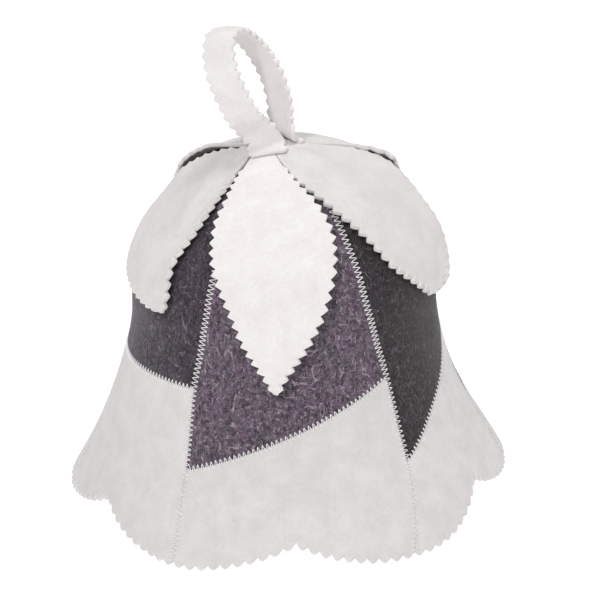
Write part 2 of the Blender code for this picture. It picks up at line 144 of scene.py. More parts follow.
# %% Gores
# The heights where the dark felt starts, at both seams of a gore, and the height of the
# notch in its hem.
GORES = table(
    "name left_height right_height notch",
    ("front", 51, 99, 14.5),
    ("right", 47, 103, 17),
    ("back_right", 47, 98, 17),
    ("back", 47, 98, 17),
    ("back_left", 47, 98, 17),
    ("left", 98, 99, 16),
)
print("gores:", [gore["name"] for gore in GORES])

# %% [markdown]
# ## Smooth curves through the tables
# A table has few rows and felt has no corners, so a smooth curve runs through each table. A
# Bezier curve object could do it too, but this one is read by its length from the first
# row, as a tape lies on the felt, and it goes on straight past both ends.


# %% A smooth curve
SAMPLES_PER_SPAN = 40


class SmoothCurve:
    """Smooth curve through table rows, read by its length from the first row."""

    def __init__(self, rows):
        points = np.array(rows, dtype=float)
        spans = np.linalg.norm(np.diff(points, axis=0), axis=1)
        slopes = np.diff(points, axis=0) / spans[:, None]
        tangents = np.vstack([slopes[:1], slopes[1:], slopes[-1:]])
        for i in range(1, len(points) - 1):
            weight = spans[i] / (spans[i - 1] + spans[i])
            tangents[i] = slopes[i - 1] * weight + slopes[i] * (1.0 - weight)
        share = (np.arange(SAMPLES_PER_SPAN) / SAMPLES_PER_SPAN)[:, None]
        dense = []
        for i, span in enumerate(spans):
            start = (2 * share**3 - 3 * share**2 + 1) * points[i]
            end = (3 * share**2 - 2 * share**3) * points[i + 1]
            leave = (share**3 - 2 * share**2 + share) * span * tangents[i]
            arrive = (share**3 - share**2) * span * tangents[i + 1]
            dense.append(start + end + leave + arrive)
        self.points = np.vstack(dense + [points[-1:]])
        steps = np.linalg.norm(np.diff(self.points, axis=0), axis=1)
        self.lengths = np.concatenate([[0.0], np.cumsum(steps)])
        self.length = self.lengths[-1]

    def between(self, length):
        return np.stack([np.interp(length, self.lengths, axis) for axis in self.points.T], -1)

    def direction(self, length):
        reach = 0.002 * self.length
        step = self.between(length + reach) - self.between(length - reach)
        return step / np.linalg.norm(step, axis=-1, keepdims=True)

    def at(self, length):
        length = np.asarray(length, dtype=float)
        inside = np.clip(length, 0.0, self.length)
        return self.between(inside) + self.direction(inside) * (length - inside)[..., None]


print("length of a straight curve:", SmoothCurve([(0, 0), (3, 4)]).length)

# %% Curves of the form
PROFILE = SmoothCurve([(row["radius"] * MM, row["height"] * MM) for row in BODY_ROWS])
SHIFT = SmoothCurve([(row["height"] * MM, row["shift"] * MM) for row in BODY_ROWS])
FRONT_SEAMS = [
    SmoothCurve([(row["height"], row[side]) for row in FRONT_SEAM_ROWS])
    for side in ("left", "right")
]
HEM_FLARE = SmoothCurve([(row["angle"], row["flare"] * MM) for row in HEM_FLARE_ROWS])
print("length up the body from hem to top, mm:", round(PROFILE.length / MM, 1))

# %% [markdown]
# ## Places on the hat
# A place is an angle around the hat, 0 at the front, and a length up the felt from the hem,
# as on a paper pattern. Bending a flat pattern with modifiers could bring it there, but one
# function that turns pattern places into points keeps every piece on the same form. Six
# shallow flutes and the flare shape the skirt. A point off the face goes level outwards at
# the hem, so that the hem stands flat, and square to the face higher up.


# %% Blends
def mix(first, second, share):
    return first + (second - first) * share


def smoothstep(low, high, value):
    """Share that goes softly from 0 at low to 1 at high."""
    share = np.clip((value - low) / (high - low), 0.0, 1.0)
    return share * share * (3.0 - 2.0 * share)


print("soft share at a quarter:", float(smoothstep(0.0, 1.0, 0.25)))

# %% A point on the body
FLUTES, FLUTE_PEAK_DEG = 6.0, 30.0
FLUTE_DEPTH, FLUTE_TOP = 1.5 * MM, 100 * MM
FLARE_TOP = 75 * MM
SQUARE_START, SQUARE_END = 25 * MM, 65 * MM
LEAST_RISE = 0.3


def on_body(angle_deg, length, off):
    """Points at angles and lengths up the body, off its outer face (minus is inside)."""
    angle_deg, length, off = np.broadcast_arrays(angle_deg, length, off)
    radius, height = PROFILE.at(length).T
    run, rise = PROFILE.direction(np.clip(length, 0.0, PROFILE.length)).T
    squareness = smoothstep(SQUARE_START, SQUARE_END, length)
    radius_off = mix(1.0 / np.maximum(rise, LEAST_RISE), rise, squareness) * off
    height_off = mix(0.0, -run, squareness) * off
    flute = FLUTE_DEPTH * np.cos(np.radians(FLUTES * (angle_deg - FLUTE_PEAK_DEG)))
    flare = np.interp((angle_deg + 180.0) % 360.0 - 180.0, *HEM_FLARE.points.T)
    radius = radius + flute * (1.0 - smoothstep(0.0, FLUTE_TOP, height)) + radius_off
    radius = radius + flare * (1.0 - smoothstep(0.0, FLARE_TOP, height))
    shift = np.interp(height, *SHIFT.points.T)
    angle = np.radians(angle_deg)
    return np.stack(
        [shift + radius * np.sin(angle), -radius * np.cos(angle), height + height_off], -1
    )


print("front of the hem, mm:", (on_body(0.0, 0.0, 0.0) / MM).round(1))

# %% Seams, borders and hem
LOBE_SHARE = 0.1


def seam_angle(number, length):
    """Angles of a seam: 0 is left of the front gore, and they count to the right."""
    turns, number = divmod(number, len(GORES))
    if number > 1:
        return np.full(np.shape(length), STRAIGHT_SEAMS_DEG[number - 2] + 360.0 * turns)
    height = PROFILE.at(length)[..., 1] / MM
    return np.interp(height, *FRONT_SEAMS[number].points.T) + 360.0 * turns


def length_at_height(height):
    return np.interp(height, PROFILE.points[:, 1], PROFILE.lengths)


def border_length(gore, across):
    """Length up the body of the line between dark and white felt."""
    return length_at_height(mix(gore["left_height"], gore["right_height"], across) * MM)


def hem_tips(gore, across):
    """Length up the body of the hem's tooth tips: lobes at the seams, a notch between."""
    from_seam = 1.0 - np.abs(2.0 * across - 1.0)
    rise = np.clip((from_seam - LOBE_SHARE) / (1.0 - LOBE_SHARE), 0.0, None)
    return length_at_height(gore["notch"] * MM * rise**2)


hem_seams = [round(float(seam_angle(number, 0.0))) for number in range(len(GORES))]
print("seams at the hem, degrees:", hem_seams)

# %% [markdown]
# ## How the felt lies
# Blocked felt is never quite even: it has soft broad waves, and it is drawn in where a seam
# is sewn. A Displace modifier could roughen each piece by itself. Here both are one height
# over the whole hat, so that neighbouring pieces and their stitches agree.

# %% Soft waves
WAVES = table(
    "height turns slope phase",
    (0.34, 3.0, 31.0, 0.7),
    (0.26, 7.0, -23.0, 2.1),
    (0.18, 11.0, 13.0, 0.4),
)
WAVES_GONE, WAVES_FULL = 290 * MM, 240 * MM


def soft_waves(angle_deg, length):
    """Broad, shallow unevenness of blocked felt, at most about 0.8 mm."""
    turn, up = np.radians(angle_deg), length / MM
    waves = sum(
        wave["height"] * np.sin(wave["turns"] * turn + up / wave["slope"] + wave["phase"])
        for wave in WAVES
    )
    return waves * MM * smoothstep(WAVES_GONE, WAVES_FULL, length)


print("waves, mm at most:", round(sum(wave["height"] for wave in WAVES), 2))

# %% Drawn-in seams
SEAM_DIP = {"depth_mm": 0.55, "reach": 2.6 * MM}
BORDER_DIP = {"depth_mm": 0.45, "reach": 2.4 * MM}
FAR = 1.0


def dip(away, shape):
    return shape["depth_mm"] * np.exp(-((away / shape["reach"]) ** 2))


def drawn_in(angle_deg, length):
    """Dip of the felt beside every seam and border."""
    radius = PROFILE.at(length)[..., 0]
    to_seam = np.full(np.shape(angle_deg), FAR)
    to_border = np.full(np.shape(angle_deg), FAR)
    wrapped = (angle_deg + 45.0) % 360.0 - 45.0
    for number, gore in enumerate(GORES):
        left, right = seam_angle(number, length), seam_angle(number + 1, length)
        for edge in (left, right):
            to_seam = np.minimum(to_seam, np.abs(np.radians(wrapped - edge)) * radius)
        turned = wrapped
        if number == len(GORES) - 1:
            turned = angle_deg % 360.0
            to_seam = np.minimum(to_seam, np.abs(np.radians(turned - right)) * radius)
        across = (turned - left) / (right - left)
        inside = (across >= 0.0) & (across <= 1.0)
        line = border_length(gore, np.clip(across, 0.0, 1.0))
        to_border = np.where(inside, np.minimum(to_border, np.abs(length - line)), to_border)
    return -(dip(to_seam, SEAM_DIP) + dip(to_border, BORDER_DIP)) * MM


def felt_face(angle_deg, length):
    """Height of the outer face of the gores off the plain form."""
    return soft_waves(angle_deg, length) + drawn_in(angle_deg, length)


print("face at a seam, mm:", round(float(felt_face(90.0, 60 * MM)) / MM, 2))

# %% [markdown]
# ## Cutting and laying a sheet of felt
# A piece is cut from a flat blank and eased over the block. Cloth simulation could drape it,
# but felt this thick stands by itself and its edges have to land on measured lines. So each
# point of a flat grid is laid on the hat, and a Solidify modifier gives the wall. A vertex
# group thins the wall beside a cut, which rounds the cut's corners.


# %% Spacing and teeth
def crowded(share, power):
    """Even steps, respread so that they lie close together at both ends."""
    near = np.minimum(share, 1.0 - share) * 2.0
    half = 0.5 * near**power
    return np.where(share < 0.5, half, 1.0 - half)


def tooth(turns, pointed):
    """Outline of a pinked edge: 0 in each notch, 1 at each tip."""
    part = turns - np.floor(turns)
    round_tip = np.sin(np.pi * part)
    sharp_tip = 1.0 - np.abs(2.0 * part - 1.0)
    return mix(round_tip, sharp_tip, pointed)


print("a tooth, in eighths:", tooth(np.arange(9) / 8.0, 0.85).round(2))

# %% Rounded cut
CORNER = 0.8 * MM


def wall_share(from_cut):
    """Share of the full wall at a distance from a cut edge, for a rounded corner."""
    inside = np.clip(from_cut, 0.0, CORNER)
    half = 0.5 * FELT - CORNER + np.sqrt(CORNER**2 - (CORNER - inside) ** 2)
    return half / (0.5 * FELT)


print("wall at the cut, share:", round(float(wall_share(0.0)), 2))


# %% Size of the blank
def cut_size(points, columns, rows):
    """Width, length down the middle and area that a blank was cut to, along the felt."""
    net = np.asarray(points).reshape(rows + 1, columns + 1, 3)
    along, up = np.diff(net, axis=1), np.diff(net, axis=0)
    width = float(np.linalg.norm(along, axis=-1).sum(1).max())
    length = float(np.linalg.norm(up[:, columns // 4 : -columns // 4], axis=-1).sum(0).max())
    area = float(np.linalg.norm(np.cross(along[:-1], up[:, :-1]), axis=-1).sum())
    return {"flat": (width, length), "area": min(area, width * length)}


# %% Lay the blank
def laid_blank(name, columns, rows, lay):
    """Flat grid laid on the hat: lay(u, v) gives mid-felt points and the way to the cut."""
    bpy.ops.object.select_all(action="DESELECT")
    bpy.ops.mesh.primitive_grid_add(x_subdivisions=columns, y_subdivisions=rows, size=1.0)
    sheet = bpy.context.object
    sheet.name = name
    sheet.data.name = name
    flat = np.empty(len(sheet.data.vertices) * 3)
    sheet.data.vertices.foreach_get("co", flat)
    u, v = (flat.reshape(-1, 3)[:, :2] + 0.5).clip(0.0, 1.0).T
    points, from_cut = lay(u, v)
    sheet.data.vertices.foreach_set("co", np.asarray(points, float).ravel())
    wall = sheet.vertex_groups.new(name="wall")
    for i, share in enumerate(wall_share(from_cut)):
        wall.add([i], float(share), "REPLACE")
    return sheet, cut_size(points, columns, rows)


# %% Give it its wall
SMOOTH_DEG = 80.0
SHEETS = {}


def felt_sheet(piece, columns, rows, lay, material):
    """Felt sheet of full thickness that stands for the solid of the same piece."""
    sheet, cut = laid_blank("felt_" + piece, columns, rows, lay)
    solidify = sheet.modifiers.new("felt", "SOLIDIFY")
    solidify.thickness = FELT
    solidify.offset = 0.0
    solidify.vertex_group = "wall"
    bpy.ops.object.modifier_apply(modifier="felt")
    bpy.ops.object.mode_set(mode="EDIT")
    bpy.ops.mesh.select_all(action="SELECT")
    bpy.ops.mesh.normals_make_consistent(inside=False)
    bpy.ops.object.mode_set(mode="OBJECT")
    bpy.ops.object.shade_smooth_by_angle(angle=math.radians(SMOOTH_DEG))
    sheet.data.materials.append(material)
    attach(sheet, "root")
    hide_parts(piece)
    SHEETS[piece] = sheet, cut
    width, length = (round(side / MM) for side in cut["flat"])
    print(sheet.name, "faces", len(sheet.data.polygons), "cut mm", width, length)


# %% [markdown]
# ## Felt and thread
# Pressed wool felt is a mat of crimped fibres with no weave. Up close it is matt, softly
# mottled, and has a fine fuzz that catches light at the edges. A scan of felt could be
# wrapped on, but noise in the piece's own coordinates has no seam and stays sharp. The
# scene is in metres, so a noise Scale of 1000 gives a pattern of about 1 mm.


# %% Helpers for materials
def linear(hex_colour):
    """sRGB hex to the linear colour that a shader needs."""
    parts = [int(hex_colour[i : i + 2], 16) / 255.0 for i in (1, 3, 5)]
    return [p / 12.92 if p <= 0.04045 else ((p + 0.055) / 1.055) ** 2.4 for p in parts] + [1.0]


def add_node(tree, kind, sockets, **settings):
    """One node with its settings, and sockets that take a value or another node's output."""
    node = tree.nodes.new(kind)
    for key, value in settings.items():
        setattr(node, key, value)
    for key, given in sockets.items():
        if isinstance(given, bpy.types.NodeSocket):
            tree.links.new(given, node.inputs[key])
        else:
            node.inputs[key].default_value = given
    return node


def new_material(name, values):
    """Node material with a shader, its even values, an output and object coordinates."""
    material = bpy.data.materials.new(name)
    material.use_nodes = True
    tree = material.node_tree
    tree.nodes.clear()
    shader = add_node(tree, "ShaderNodeBsdfPrincipled", values)
    add_node(tree, "ShaderNodeOutputMaterial", {"Surface": shader.outputs["BSDF"]})
    place = add_node(tree, "ShaderNodeTexCoord", {}).outputs["Object"]
    print("material", name)
    return material, tree, shader, place


print("middle grey in linear light:", round(linear("#808080")[0], 3))


# %% Helpers for patterns
def noise(tree, place, per_m, detail, roughness=0.5, distortion=0.0):
    """Cloudy noise with about per_m patches to the metre."""
    sockets = {"Vector": place, "Scale": per_m, "Detail": detail}
    sockets |= {"Roughness": roughness, "Distortion": distortion}
    return add_node(tree, "ShaderNodeTexNoise", sockets).outputs["Fac"]


def spread(tree, value, low, high, start=0.0, end=1.0, kind="LINEAR"):
    """A value spread so that low to high becomes start to end."""
    sockets = {"Value": value, "From Min": low, "From Max": high, "To Min": start, "To Max": end}
    return add_node(tree, "ShaderNodeMapRange", sockets, interpolation_type=kind).outputs["Result"]


def blend(tree, share, first, second, kind="MIX"):
    """A share of the second colour over the first one, or multiplied into it."""
    sockets = {"Factor": share, "A": first, "B": second}
    node = add_node(tree, "ShaderNodeMix", sockets, data_type="RGBA", blend_type=kind)
    return node.outputs["Result"]


def work_out(tree, operation, *numbers):
    """Sum, product or other result of values and outputs."""
    sockets = dict(enumerate(numbers))
    return add_node(tree, "ShaderNodeMath", sockets, operation=operation).outputs[0]


def bump(tree, height, strength, distance, **under):
    """Small relief from a height, over the relief under it."""
    sockets = {"Height": height, "Strength": strength, "Distance": distance, **under}
    return add_node(tree, "ShaderNodeBump", sockets).outputs["Normal"]


# %% [markdown]
# ### Fibres
# A loose fibre in felt is a thin curved line. Thousands of curves could be strewn over the
# hat, but lines this thin are cheaper in the shader: a smooth noise passes its middle value
# along curling lines, and a second noise breaks these into short hairs.


# %% Hair lines
BREAKS, BREAK_FADE = 1.7, 0.14


def hair_lines(tree, place, per_m, thin, seed, stretch, part_low=0.40):
    """Thin curved lines where a smooth noise passes its middle value."""
    start = (seed, 2.0 * seed, 3.0 * seed)
    sockets = {"Vector": place, "Location": start, "Scale": stretch}
    moved = add_node(tree, "ShaderNodeMapping", sockets).outputs["Vector"]
    swirl = noise(tree, moved, per_m, 1.0, distortion=0.3)
    away = work_out(tree, "ABSOLUTE", work_out(tree, "SUBTRACT", swirl, 0.5))
    line = spread(tree, away, 0.0, thin, 1.0, 0.0, "SMOOTHSTEP")
    broken = noise(tree, moved, per_m * BREAKS, 0.0)
    part = spread(tree, broken, part_low, part_low + BREAK_FADE, kind="SMOOTHSTEP")
    return work_out(tree, "MULTIPLY", line, part)


# %% [markdown]
# ### White wool felt
# Bleached, pressed wool: nearly white and matt, with faint grey mottling about 14 mm across,
# finer cloudiness about 2.5 mm across, and hardly visible fibres. One colour would look like
# plaster, so two noises set the tone and a third gives faint hairs and fuzz.


# %% White wool felt
MATT_FUZZ = {"Roughness": 0.95, "Sheen Weight": 0.25, "Sheen Roughness": 0.5}


def white_wool_felt(name, shade, light):
    even = MATT_FUZZ | {"Specular IOR Level": 0.25}
    material, tree, shader, place = new_material(name, even)
    clouds = noise(tree, place, 70.0, 3.0, 0.6)
    fine = noise(tree, place, 420.0, 3.0, 0.7)
    hairs = hair_lines(tree, place, 260.0, 0.012, 0.31, (1.0, 1.0, 0.6))
    base = blend(tree, spread(tree, clouds, 0.35, 0.65), linear(shade), linear(light))
    grain = spread(tree, fine, 0.3, 0.7, 0.95, 1.02)
    mottled = blend(tree, 1.0, base, grain, "MULTIPLY")
    haired = blend(tree, work_out(tree, "MULTIPLY", hairs, 0.22), mottled, linear("#BDB6B2"))
    raised = bump(tree, fine, 0.55, 0.35 * MM)
    fuzz = bump(tree, hairs, 0.4, 0.12 * MM, Normal=raised)
    tree.links.new(haired, shader.inputs["Base Color"])
    tree.links.new(fuzz, shader.inputs["Normal"])
    return material


# %% [markdown]
# ### Dark heather felt
# Dyed wool carded with pale fibres: grey violet with darker clumps 2 to 4 mm across, patches
# about 14 mm across that lean to violet or grey, and pale and dark hairs 3 to 10 mm long
# that curl every way. Real hairs are 0.03 mm thick, too fine to show one by one, so they
# are drawn as small tufts about 0.5 mm wide, in six layers of different size and direction.

# %% Hairs of the heather felt
HAIR_ROWS = table(
    "per_m thin seed stretch part_low amount shade",
    (110.0, 0.014, 0.17, (1.0, 1.0, 0.35), 0.50, 0.55, None),
    (140.0, 0.016, 0.53, (0.35, 1.0, 1.0), 0.48, 0.50, None),
    (200.0, 0.022, 0.91, (1.0, 0.6, 1.3), 0.46, 0.45, None),
    (300.0, 0.034, 2.11, (1.3, 1.0, 0.6), 0.44, 0.50, None),
    (150.0, 0.030, 1.37, (1.1, 1.0, 0.5), 0.42, 0.60, "#241E25"),
    (260.0, 0.042, 2.77, (0.7, 1.0, 1.2), 0.42, 0.60, "#2A232B"),
)


def add_hairs(tree, place, colour, height, hair):
    """Layers of hairs over a colour and a height: a row without a shade is pale hair."""
    for row in HAIR_ROWS:
        shape = [row[key] for key in ("per_m", "thin", "seed", "stretch", "part_low")]
        share = work_out(tree, "MULTIPLY", hair_lines(tree, place, *shape), row["amount"])
        colour = blend(tree, share, colour, linear(row["shade"] or hair))
        height = work_out(tree, "ADD", height, share)
    return colour, height


print("layers of hairs:", len(HAIR_ROWS))


# %% Dark heather felt
def dark_heather_felt(name, deep, pale, hair):
    even = MATT_FUZZ | {"Specular IOR Level": 0.2}
    material, tree, shader, place = new_material(name, even)
    clumps = noise(tree, place, 280.0, 5.0, 0.85, 0.3)
    patches = noise(tree, place, 70.0, 3.0)
    fine = noise(tree, place, 900.0, 2.0, 0.7)
    base = blend(tree, spread(tree, clumps, 0.38, 0.63), linear(deep), linear(pale))
    warm = spread(tree, patches, 0.38, 0.6)
    tint = blend(tree, warm, linear("#F8FCFA"), linear("#FFF0FC"))
    dyed = blend(tree, 1.0, base, tint, "MULTIPLY")
    colour, height = add_hairs(tree, place, dyed, fine, hair)
    tree.links.new(colour, shader.inputs["Base Color"])
    tree.links.new(bump(tree, height, 0.7, 0.4 * MM), shader.inputs["Normal"])
    return material


# %% [markdown]
# ### Polyester thread
# Spun polyester sewing thread: white and slightly glossy, with a twist of about 0.6 mm. The
# twist could be modelled, but at this size a noise in the colour says enough.


# %% White polyester thread
def sewing_thread():
    even = {"Roughness": 0.6, "Sheen Weight": 0.2}
    material, tree, shader, place = new_material("white_polyester_thread", even)
    twist = spread(tree, noise(tree, place, 1600.0, 1.0), 0.35, 0.65, 0.86, 1.0)
    colour = blend(tree, 1.0, linear("#F4F1F2"), twist, "MULTIPLY")
    tree.links.new(colour, shader.inputs["Base Color"])
    return material


# %% [markdown]
# ### Tints of one felt
# Each piece lies its own way to the light, so one felt looks a little lighter or darker from
# piece to piece. More lamps could give that, with harder shadows. Here the shade is painted
# instead: the white felt has four close tints and the heather felt three, and each tint after
# the first is a darker copy of it, painted shade.

# %% Felts of this hat
WHITE_FELT = white_wool_felt("white_pressed_wool_felt", "#EAE5E4", "#F0ECEB")
# A darker copy of the white felt for the skirt gores: painted shade.
SKIRT_PAINTED_SHADE_FELT = white_wool_felt("skirt_wool_felt_painted_shade", "#D8D4D3", "#E1DDDD")
# A darker copy of the white felt for the petals beside and behind the front one: painted shade.
SIDE_PETAL_PAINTED_SHADE_FELT = white_wool_felt("side_petal_wool_felt_painted_shade", "#DBD7D6", "#E3DFDE")
# A copy of the white felt for the strap, a little darker than the front petal's: painted shade.
STRAP_PAINTED_SHADE_FELT = white_wool_felt("strap_wool_felt_painted_shade", "#E5E0DF", "#ECE8E7")
DARK_FELT = dark_heather_felt("dark_heather_wool_felt", "#3A323A", "#7C6E7C", "#C4B8C4")
# Two darker copies of the heather felt for the side gores: painted shade, deeper in the second.
HEATHER_PAINTED_SHADE_FELT = dark_heather_felt("heather_wool_felt_painted_shade", "#231E23", "#524853", "#8E8490")
HEATHER_PAINTED_DEEP_SHADE_FELT = dark_heather_felt("heather_wool_felt_painted_deep_shade", "#181416", "#3F393C", "#79727A")
THREAD = sewing_thread()

# %% [markdown]
# ## Crown gores
# Six dark gores narrow to a point at the top. One shell could be cut into six, but each gore
# is its own piece of cloth, so each is its own sheet. Their cut edges butt together, and
# the rounded corners of the two walls show the seam as a fine groove.

# %% Place in a gore
SEAM_HALF_GAP = 0.03 * MM
BUTTED_CUT, JOIN_SLOPE = 0.35 * MM, 1.5
LEAST_RADIUS = 1.5 * MM


def gore_place(number, across, length):
    """Angle in a gore at a share of its width, and the way to the nearer seam."""
    left, right = seam_angle(number, length), seam_angle(number + 1, length)
    radius = np.maximum(PROFILE.at(length)[..., 0], LEAST_RADIUS)
    gap = np.degrees(SEAM_HALF_GAP / radius)
    angle = mix(left + gap, right - gap, across)
    from_seam = np.minimum(across, 1.0 - across) * np.radians(right - left) * radius
    return angle, from_seam


# %% Crown gores
CROWN_COLUMNS, CROWN_ROWS = 44, 96
SEAM_CROWDING, TOP_CROWDING = 1.8, 1.35
# The front and back gores take the heather felt. The others take its copies with painted shade:
# the deeper one on the right and back-left gores, the lighter one on the back-right and left
# gores.
CROWN_FELTS = (DARK_FELT, HEATHER_PAINTED_DEEP_SHADE_FELT, HEATHER_PAINTED_SHADE_FELT) * 2


def lay_crown(number, gore):
    def lay(u, v):
        across = crowded(u, SEAM_CROWDING)
        start = border_length(gore, across) + SEAM_HALF_GAP
        length = mix(start, PROFILE.length, v**TOP_CROWDING)
        angle, from_seam = gore_place(number, across, length)
        from_cut = JOIN_SLOPE * np.minimum(from_seam, length - start) + BUTTED_CUT
        return on_body(angle, length, felt_face(angle, length) - 0.5 * FELT), from_cut

    return lay


for number, gore in enumerate(GORES):
    felt_sheet(
        "crown_gore_" + gore["name"], CROWN_COLUMNS, CROWN_ROWS, lay_crown(number, gore),
        CROWN_FELTS[number],
    )

# %% [markdown]
# ## Skirt gores
# Six white gores flare to the hem, which is cut with pinking shears in six lobes. The teeth
# could be cut with a boolean, but that leaves a rough mesh. Here the lowest row of the
# blank already follows the teeth, with eight points to a tooth.

# %% Skirt gores with a pinked hem
HEM_TEETH = 20
POINTS_PER_TOOTH = 8
SKIRT_ROWS = 60
HEM_POINTED, HEM_SLOPE = 0.25, 0.75
ROW_CROWDING = 1.5


def lay_skirt(number, gore):
    def lay(u, v):
        pinked = TOOTH_DEPTH * (1.0 - tooth(u * HEM_TEETH, HEM_POINTED))
        start = hem_tips(gore, u) + pinked
        end = border_length(gore, u) - SEAM_HALF_GAP
        length = mix(start, end, crowded(v, ROW_CROWDING))
        angle, from_seam = gore_place(number, u, length)
        from_joins = JOIN_SLOPE * np.minimum(from_seam, end - length) + BUTTED_CUT
        from_cut = np.minimum(from_joins, HEM_SLOPE * (length - start))
        return on_body(angle, length, felt_face(angle, length) - 0.5 * FELT), from_cut

    return lay


# The skirt gores take the darker copy of the white felt, with its painted shade.
for number, gore in enumerate(GORES):
    felt_sheet(
        "skirt_gore_" + gore["name"], HEM_TEETH * POINTS_PER_TOOTH, SKIRT_ROWS,
        lay_skirt(number, gore), SKIRT_PAINTED_SHADE_FELT,
    )

# %% [markdown]
# ## Petals
# The petals are leaves of white felt with pinked edges, sewn in at the top only, so their
# edges stand off the crown and throw a narrow shadow. A leaf could be drawn as a flat
# outline, filled and shrink-wrapped. Here its two edges are smooth curves in angle and
# length up the body, and the blank is stretched between them, so that its rows can carry
# the teeth, the curl of each edge and the lifted tip.

# %% Edges of the front petal
# Each row has a place on the left edge and one on the right edge, from the tip to the top.
EDGES = "left_deg left_length right_deg right_length"
FRONT_PETAL_ROWS = table(
    EDGES,
    (-3.9, 111.5, -3.2, 111.5),
    (-5.2, 118, -2.4, 118),
    (-9.9, 130, 1.4, 130),
    (-14.5, 143, 5.4, 143),
    (-19.3, 160, 10.2, 159),
    (-25.3, 177, 14, 176),
    (-31, 193, 17.2, 194),
    (-33.4, 205, 18, 206),
    (-34.7, 214, 17.2, 217),
    (-33.5, 227, 15.6, 228),
    (-32.2, 238, 13.8, 238),
    (-31.6, 250, 12.8, 250),
    (-31, 264, 12.2, 264),
    (-31, 292.5, 11.5, 292.5),
)
print("rows of the front petal:", len(FRONT_PETAL_ROWS))

# %% Edges of the side petals
RIGHT_PETAL_ROWS = table(
    EDGES,
    (61.5, 150.5, 64.5, 150.5),
    (55, 160, 73, 153),
    (48, 171, 79.5, 158),
    (42, 181, 82.5, 167),
    (39, 190, 83, 179),
    (36, 200.5, 84.5, 192),
    (31.6, 211, 86.5, 205),
    (26.4, 222, 89, 216),
    (21.5, 234, 91, 227),
    (17.9, 246, 91.5, 236),
    (14.2, 262, 95, 248),
    (12, 292.5, 97.8, 292.5),
)
LEFT_PETAL_ROWS = table(
    EDGES,
    (-50.5, 154, -48, 154),
    (-62, 156.5, -48, 164),
    (-76, 160.5, -49, 174),
    (-88, 165, -49.3, 184),
    (-96, 173, -48, 193),
    (-100, 185, -46.3, 202),
    (-100.5, 198, -44.8, 213),
    (-98, 210, -42.5, 225),
    (-94.5, 222, -40, 237),
    (-92, 233, -36.8, 249),
    (-90, 244, -34.3, 262),
    (-87, 257, -33.5, 270),
    (-77, 270, -33.5, 276),
    (-66, 292.5, -33.5, 292.5),
)
print("rows of the side petals:", len(RIGHT_PETAL_ROWS), len(LEFT_PETAL_ROWS))

# %% Edges of the back petals
# These angles count from the middle of each petal, and all three start with the same tip.
LEAF_TIP_ROWS = table(
    EDGES,
    (-1.5, 151, 1.5, 151),
    (-8, 161, 8, 161),
    (-14.5, 173, 14.5, 173),
    (-19, 186, 19, 186),
    (-21.5, 200, 21.5, 200),
)
BACK_PETAL_ROWS = LEAF_TIP_ROWS + table(
    EDGES,
    (-23.2, 215, 23.2, 215),
    (-24.4, 230, 24.4, 230),
    (-24.6, 262, 24.6, 262),
    (-24.6, 292.5, 24.6, 292.5),
)
BACK_RIGHT_PETAL_ROWS = LEAF_TIP_ROWS + table(
    EDGES,
    (-25.5, 213, 23.2, 215),
    (-33, 221, 24.4, 232),
    (-37.5, 230, 24.5, 246),
    (-37, 240, 24.6, 262),
    (-34, 252, 24.6, 276),
    (-33.8, 292.5, 24.6, 292.5),
)
BACK_LEFT_PETAL_ROWS = LEAF_TIP_ROWS + table(
    EDGES,
    (-23.2, 215, 20.5, 215),
    (-24.4, 230, 20, 230),
    (-24.5, 246, 22, 246),
    (-24.6, 262, 26, 262),
    (-24.6, 292.5, 50, 292.5),
)
print("rows of the back petal:", len(BACK_PETAL_ROWS))

# %% How each petal hangs
# Each edge is pinked up to the length "free", and below the length "loose" it stands off by
# its "lift". A "tilt" adds more towards the right edge. The higher the "curl", the narrower
# the lifted edge, and "lower_share" is how much of the lift the lower part keeps.
PETALS = table(
    "name rows turn tip_lift tilt curl lower_share "
    "left_free left_lift left_loose right_free right_lift right_loose",
    ("front", FRONT_PETAL_ROWS, 0, 1.6, 4.6, 2, 1, 258, 1.6, 225, 262, 1.6, 225),
    ("right", RIGHT_PETAL_ROWS, 0, 5, 0, 4, 1, 256, 2.5, 226, 250, 4.6, 246),
    ("back_right", BACK_RIGHT_PETAL_ROWS, 132.4, 5, 0, 2, 0.3, 244, 9, 244, 214, 2, 232),
    ("back", BACK_PETAL_ROWS, 182.3, 5, 0, 2, 1, 214, 2, 215, 214, 2, 215),
    ("back_left", BACK_LEFT_PETAL_ROWS, 232.2, 5, 0, 2, 0.2, 214, 1, 232, 250, 5.6, 272),
    ("left", LEFT_PETAL_ROWS, 0, 4, 0, 4, 0.6, 282, 3, 272, 252, 2.5, 230),
)
PETAL_SEAT = 0.6 * MM
PETAL_COLUMNS = 44
print("petals:", [petal["name"] for petal in PETALS])


# %% Edge of a petal
def petal_edge(petal, side):
    """Ways along a petal's edge, with the angles, lengths up the body and radii there."""
    rows = [(row[side + "_deg"], row[side + "_length"]) for row in petal["rows"]]
    angles, ups = SmoothCurve(rows).points.T
    ups = ups * MM
    radii = PROFILE.at(ups)[:, 0] + FELT
    arcs = np.radians(np.diff(angles)) * 0.5 * (radii[1:] + radii[:-1])
    along = np.concatenate([[0.0], np.cumsum(np.hypot(arcs, np.diff(ups)))])
    return along, angles + petal["turn"], ups, radii


def petal_rows(petal):
    """Rows of a petal's grid: eight for each tooth's width along its longer edge."""
    longest = max(petal_edge(petal, side)[0][-1] for side in ("left", "right"))
    return round(longest / PINK_PITCH) * POINTS_PER_TOOTH


print("rows in the petals:", [petal_rows(petal) for petal in PETALS])

# %% Pinked edge of a petal
EDGE_STEP = 0.8 * MM
TIP_FADE, TOP_FADE = 5 * MM, 16 * MM
SMALLEST_TOOTH, PETAL_POINTED = 0.6, 0.85


